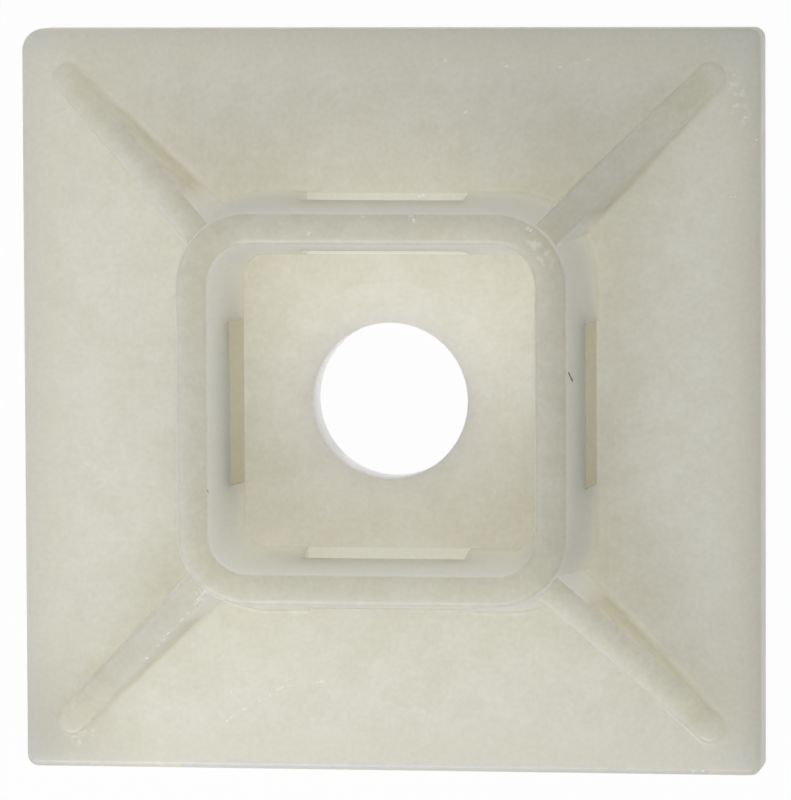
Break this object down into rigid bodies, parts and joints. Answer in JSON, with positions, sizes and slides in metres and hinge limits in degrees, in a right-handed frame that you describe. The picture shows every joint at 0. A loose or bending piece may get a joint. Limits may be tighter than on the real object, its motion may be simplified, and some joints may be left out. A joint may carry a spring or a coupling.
{
  "type": "cable tie mount",
  "caption": "Square nylon mount that anchors a cable tie: a flat base, an open slotted cup in the middle, corner ribs and a screw hole.",
  "frame": {"origin": "middle of the flat underside, on the axis of the screw hole", "axes": "+Z out of the surface that the mount is fixed to, X and Y square to the sides of the base; in the picture +X is to the right and +Y is up"},
  "size_m": [0.02, 0.02, 0.0049],
  "materials": {
    "natural_nylon": "natural, undyed nylon as moulded: off-white, slightly translucent, satin"
  },
  "bodies": {
    "root": {"mount_body": "natural_nylon"}
  },
  "joints": []
}
